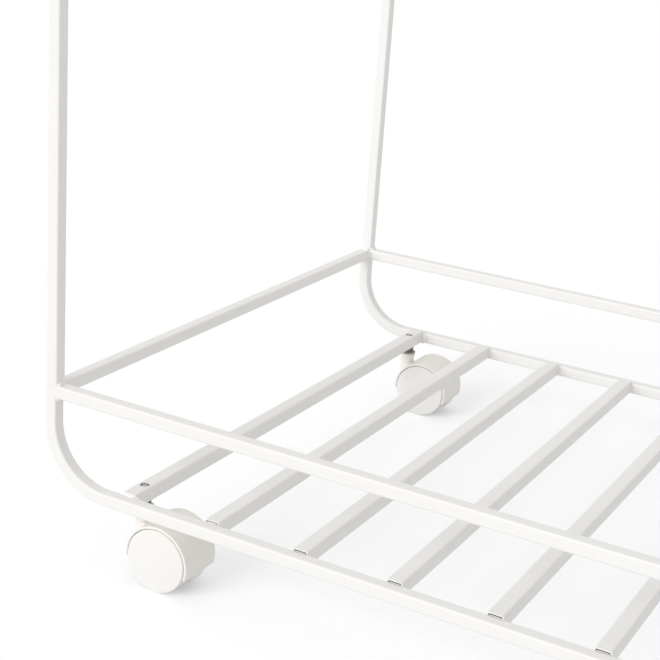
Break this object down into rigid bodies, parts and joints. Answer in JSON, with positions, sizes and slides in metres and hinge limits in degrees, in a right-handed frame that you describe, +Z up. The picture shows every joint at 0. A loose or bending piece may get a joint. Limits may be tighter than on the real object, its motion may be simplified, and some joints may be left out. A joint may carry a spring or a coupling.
{
  "type": "flower cart stand",
  "caption": "Rolling flower stand of square tube: slatted base shelf with a guard rail, corner posts, slatted top and twin-wheel swivel casters.",
  "frame": {"origin": "on the floor, under the middle of the frame", "axes": "+X to the right along the long side, +Y to the back, +Z up"},
  "size_m": [0.8, 0.5, 0.75],
  "materials": {
    "powder_coat": "satin white powder coat with a faint orange peel",
    "caster_plastic": "semi-gloss cream moulded nylon",
    "dark_zinc": "dark zinc plated, slightly rough",
    "bright_steel": "bright drawn steel"
  },
  "bodies": {
    "frame": {"front_base_tube": "powder_coat", "back_base_tube": "powder_coat", "front_top_tube": "powder_coat", "back_top_tube": "powder_coat", "front_guard_rail": "powder_coat", "back_guard_rail": "powder_coat", "left_guard_rail": "powder_coat", "right_guard_rail": "powder_coat", "front_top_rail": "powder_coat", "back_top_rail": "powder_coat", "left_top_rail": "powder_coat", "right_top_rail": "powder_coat", "base_slat_01": "powder_coat", "base_slat_02": "powder_coat", "base_slat_03": "powder_coat", "base_slat_04": "powder_coat", "base_slat_05": "powder_coat", "base_slat_06": "powder_coat", "base_slat_07": "powder_coat", "base_slat_08": "powder_coat", "base_slat_09": "powder_coat", "base_slat_10": "powder_coat", "top_slat_01": "powder_coat", "top_slat_02": "powder_coat", "top_slat_03": "powder_coat", "top_slat_04": "powder_coat", "top_slat_05": "powder_coat", "top_slat_06": "powder_coat", "top_slat_07": "powder_coat", "top_slat_08": "powder_coat", "top_slat_09": "powder_coat", "top_slat_10": "powder_coat", "front_left_post": "powder_coat", "front_right_post": "powder_coat", "back_left_post": "powder_coat", "back_right_post": "powder_coat", "post_plugs": "bright_steel", "corner_tabs": "powder_coat", "stem_nuts": "dark_zinc", "front_left_caster_stem": "dark_zinc", "front_right_caster_stem": "dark_zinc", "back_left_caster_stem": "dark_zinc", "back_right_caster_stem": "dark_zinc"},
    "front_left_swivel": {"front_left_caster_hood": "caster_plastic", "front_left_caster_axle": "bright_steel"},
    "front_left_front_roller": {"front_left_front_wheel": "caster_plastic"},
    "front_left_back_roller": {"front_left_back_wheel": "caster_plastic"},
    "front_right_swivel": {"front_right_caster_hood": "caster_plastic", "front_right_caster_axle": "bright_steel"},
    "front_right_front_roller": {"front_right_front_wheel": "caster_plastic"},
    "front_right_back_roller": {"front_right_back_wheel": "caster_plastic"},
    "back_left_swivel": {"back_left_caster_hood": "caster_plastic", "back_left_caster_axle": "bright_steel"},
    "back_left_front_roller": {"back_left_front_wheel": "caster_plastic"},
    "back_left_back_roller": {"back_left_back_wheel": "caster_plastic"},
    "back_right_swivel": {"back_right_caster_hood": "caster_plastic", "back_right_caster_axle": "bright_steel"},
    "back_right_front_roller": {"back_right_front_wheel": "caster_plastic"},
    "back_right_back_roller": {"back_right_back_wheel": "caster_plastic"}
  },
  "joints": [
    {"name": "front_left_swivel_turn", "type": "hinge", "parent": "frame", "child": "front_left_swivel", "pos_m": [-0.3285, -0.221, 0.05], "axis": [0, 0, 1], "continuous": true},
    {"name": "front_left_front_spin", "type": "hinge", "parent": "front_left_swivel", "child": "front_left_front_roller", "pos_m": [-0.3035, -0.221, 0.025], "axis": [0, 1, 0], "continuous": true},
    {"name": "front_left_back_spin", "type": "hinge", "parent": "front_left_swivel", "child": "front_left_back_roller", "pos_m": [-0.3035, -0.221, 0.025], "axis": [0, 1, 0], "continuous": true},
    {"name": "front_right_swivel_turn", "type": "hinge", "parent": "frame", "child": "front_right_swivel", "pos_m": [0.3285, -0.221, 0.05], "axis": [0, 0, 1], "continuous": true},
    {"name": "front_right_front_spin", "type": "hinge", "parent": "front_right_swivel", "child": "front_right_front_roller", "pos_m": [0.3535, -0.221, 0.025], "axis": [0, 1, 0], "continuous": true},
    {"name": "front_right_back_spin", "type": "hinge", "parent": "front_right_swivel", "child": "front_right_back_roller", "pos_m": [0.3535, -0.221, 0.025], "axis": [0, 1, 0], "continuous": true},
    {"name": "back_left_swivel_turn", "type": "hinge", "parent": "frame", "child": "back_left_swivel", "pos_m": [-0.3285, 0.221, 0.05], "axis": [0, 0, 1], "continuous": true},
    {"name": "back_left_front_spin", "type": "hinge", "parent": "back_left_swivel", "child": "back_left_front_roller", "pos_m": [-0.3035, 0.221, 0.025], "axis": [0, 1, 0], "continuous": true},
    {"name": "back_left_back_spin", "type": "hinge", "parent": "back_left_swivel", "child": "back_left_back_roller", "pos_m": [-0.3035, 0.221, 0.025], "axis": [0, 1, 0], "continuous": true},
    {"name": "back_right_swivel_turn", "type": "hinge", "parent": "frame", "child": "back_right_swivel", "pos_m": [0.3285, 0.221, 0.05], "axis": [0, 0, 1], "continuous": true},
    {"name": "back_right_front_spin", "type": "hinge", "parent": "back_right_swivel", "child": "back_right_front_roller", "pos_m": [0.3535, 0.221, 0.025], "axis": [0, 1, 0], "continuous": true},
    {"name": "back_right_back_spin", "type": "hinge", "parent": "back_right_swivel", "child": "back_right_back_roller", "pos_m": [0.3535, 0.221, 0.025], "axis": [0, 1, 0], "continuous": true}
  ]
}
